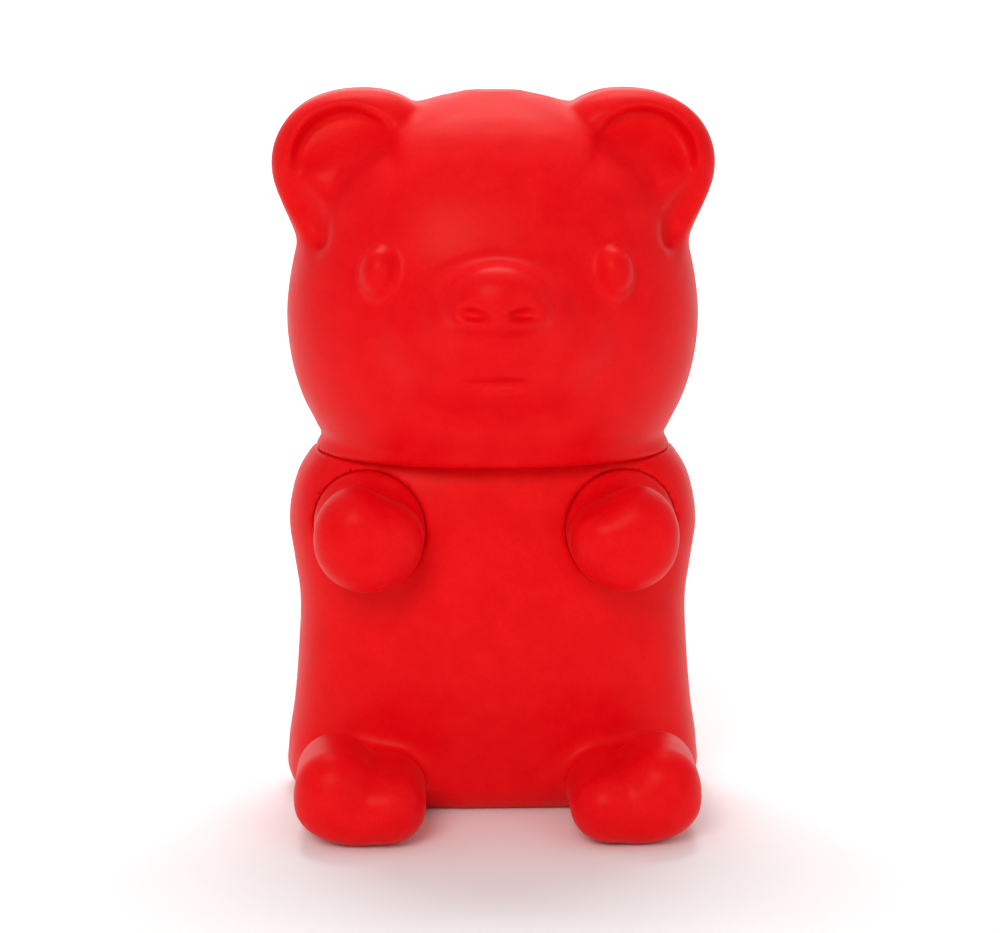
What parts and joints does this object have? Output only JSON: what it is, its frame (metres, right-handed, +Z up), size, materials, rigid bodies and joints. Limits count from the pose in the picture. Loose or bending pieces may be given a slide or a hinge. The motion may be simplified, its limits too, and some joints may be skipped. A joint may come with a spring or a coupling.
{
  "type": "vinyl bear figure",
  "caption": "Chunky standing bear figure in glossless cast vinyl, hollow, with a turning head and two turning forearm stubs on hidden snap joints.",
  "frame": {"origin": "on the surface the figure stands on, under the middle of its overall width and depth", "axes": "+Z up; the figure faces -Y; +X is the figure's own left"},
  "size_m": [0.122, 0.0893, 0.2],
  "materials": {
    "vinyl": "soft satin red cast vinyl",
    "vinyl_plug": "soft satin red vinyl",
    "peg_plastic": "moulded red hard plastic",
    "socket_plastic": "moulded red hard plastic",
    "washer_plastic": "natural nylon sheet",
    "clip_steel": "spring steel"
  },
  "bodies": {
    "torso": {"torso_shell": "vinyl", "base_plug": "vinyl_plug", "neck_socket": "socket_plastic", "neck_washer": "washer_plastic", "left_arm_socket": "socket_plastic", "left_arm_washer": "washer_plastic", "right_arm_socket": "socket_plastic", "right_arm_washer": "washer_plastic"},
    "head": {"head_shell": "vinyl", "neck_peg": "peg_plastic", "neck_clip": "clip_steel"},
    "left_arm": {"left_arm_shell": "vinyl", "left_arm_peg": "peg_plastic", "left_arm_clip": "clip_steel"},
    "right_arm": {"right_arm_shell": "vinyl", "right_arm_peg": "peg_plastic", "right_arm_clip": "clip_steel"}
  },
  "joints": [
    {"name": "head_turn", "type": "hinge", "parent": "torso", "child": "head", "pos_m": [0, 0.01535, 0.0993], "axis": [0, 0, 1], "continuous": true},
    {"name": "left_arm_turn", "type": "hinge", "parent": "torso", "child": "left_arm", "pos_m": [0.0346, 0.00635, 0.0813], "axis": [0, -1, 0], "continuous": true},
    {"name": "right_arm_turn", "type": "hinge", "parent": "torso", "child": "right_arm", "pos_m": [-0.0346, 0.00635, 0.0813], "axis": [0, -1, 0], "continuous": true}
  ]
}
